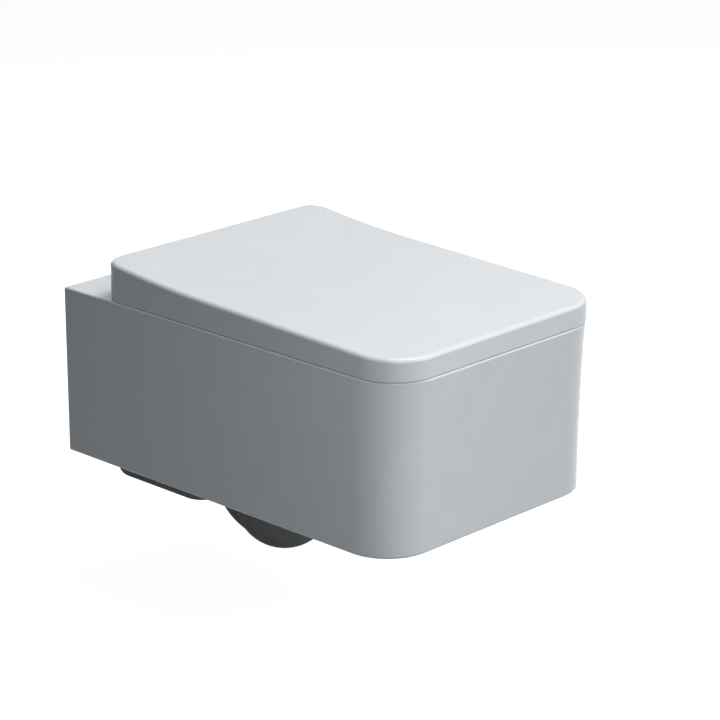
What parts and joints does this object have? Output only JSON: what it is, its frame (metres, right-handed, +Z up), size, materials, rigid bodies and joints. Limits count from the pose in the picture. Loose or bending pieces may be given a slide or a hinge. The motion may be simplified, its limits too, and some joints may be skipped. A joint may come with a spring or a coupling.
{
  "type": "wall hung toilet",
  "caption": "Wall hung toilet with straight sided ceramic pan, hidden wall fixing, and a wrap over seat and cover on soft closing quick release hinges.",
  "frame": {"origin": "midway between the two wall bolt holes, on the wall plane", "axes": "+Y into the wall, +X to the right seen from the front, +Z up"},
  "size_m": [0.36, 0.5498, 0.3825],
  "materials": {
    "ceramic": "gloss white glaze",
    "seat_plastic": "satin white",
    "black_rubber": "matt",
    "clear_rubber": "translucent white",
    "grey_plastic": "matt",
    "dark_plastic": "matt",
    "steel": "brushed",
    "spring_steel": "drawn wire",
    "brass": "turned",
    "chrome_plastic": "polished",
    "button_plastic": "satin grey"
  },
  "bodies": {
    "pan": {"pan_skirt": "ceramic", "pan_deck": "ceramic", "pan_back_upper": "ceramic", "pan_back_lower": "ceramic", "pan_bowl": "ceramic", "pan_inlet": "ceramic", "pan_sump": "ceramic", "pan_trap": "ceramic", "pan_outlet": "ceramic", "pan_cheek_left": "ceramic", "pan_cheek_right": "ceramic", "inlet_seal": "black_rubber", "wall_bush_left": "grey_plastic", "wall_bush_right": "grey_plastic", "hinge_gasket_left": "clear_rubber", "hinge_gasket_right": "clear_rubber", "hinge_base_left": "steel", "hinge_base_right": "steel", "hinge_bolt_left": "steel", "hinge_bolt_right": "steel", "expanding_bung_left": "black_rubber", "expanding_bung_right": "black_rubber", "bung_nut_left": "brass", "bung_nut_right": "brass", "hinge_body_left": "chrome_plastic", "hinge_body_right": "chrome_plastic", "button_spring_left": "spring_steel", "button_spring_right": "spring_steel", "seat_damper": "dark_plastic", "cover_damper": "dark_plastic"},
    "seat": {"seat_ring": "seat_plastic", "seat_buffers": "clear_rubber", "seat_damper_shaft": "steel", "seat_hinge_pin": "steel"},
    "lid": {"cover": "seat_plastic", "cover_buffers": "clear_rubber", "cover_damper_shaft": "steel", "cover_hinge_pin": "steel"},
    "button_left": {"release_button_left": "button_plastic"},
    "button_right": {"release_button_right": "button_plastic"}
  },
  "joints": [
    {"name": "seat_hinge", "type": "hinge", "parent": "pan", "child": "seat", "pos_m": [0, -0.08, 0.11], "axis": [-1, 0, 0], "range_deg": [0, 92]},
    {"name": "lid_hinge", "type": "hinge", "parent": "seat", "child": "lid", "pos_m": [0, -0.08, 0.11], "axis": [-1, 0, 0], "range_deg": [0, 95]},
    {"name": "left_button_press", "type": "slide", "parent": "pan", "child": "button_left", "axis": [1, 0, 0], "range_m": [0, 0.002], "stiffness_N_per_m": 800, "springref_m": -0.002, "deforming": ["button_spring_left"]},
    {"name": "right_button_press", "type": "slide", "parent": "pan", "child": "button_right", "axis": [-1, 0, 0], "range_m": [0, 0.002], "stiffness_N_per_m": 800, "springref_m": -0.002, "deforming": ["button_spring_right"]}
  ]
}
